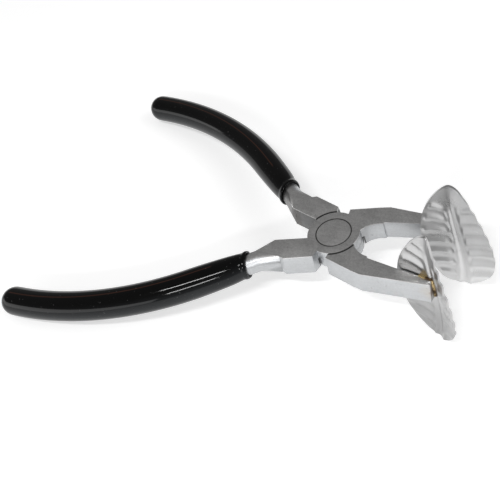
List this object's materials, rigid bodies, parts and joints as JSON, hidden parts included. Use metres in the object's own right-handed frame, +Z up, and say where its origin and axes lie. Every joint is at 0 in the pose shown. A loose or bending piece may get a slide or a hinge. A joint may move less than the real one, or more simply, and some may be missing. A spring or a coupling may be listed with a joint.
{
  "type": "leaf press pliers",
  "caption": "Flat-jaw lap-joint pliers with a pressed sheet-metal leaf brazed upright to each jaw tip, and dipped handle grips.",
  "frame": {"origin": "pivot axis at the underside of the joint, in the middle of the lower rivet head's face", "axes": "+X towards the jaws, +Y towards the jaw of the upper-lap lever, +Z up along the pivot"},
  "size_m": [0.1773, 0.1294, 0.0495],
  "materials": {
    "steel": "satin blasted forging",
    "rivet_steel": "ground flush",
    "grip_black": "glossy dipped vinyl",
    "leaf_sheet": "pressed stainless sheet",
    "braze": "brazed, heat-stained"
  },
  "bodies": {
    "upper": {"lever_upper": "steel", "pivot_rivet": "rivet_steel", "grip_upper": "grip_black", "leaf_concave": "leaf_sheet", "braze_upper": "braze"},
    "lower": {"lever_lower": "steel", "grip_lower": "grip_black", "leaf_convex": "leaf_sheet", "braze_lower": "braze"}
  },
  "joints": [
    {"name": "pivot", "type": "hinge", "parent": "upper", "child": "lower", "pos_m": [0, 0, 0.004], "axis": [0, 0, 1], "range_deg": [-15, 29.4]}
  ]
}
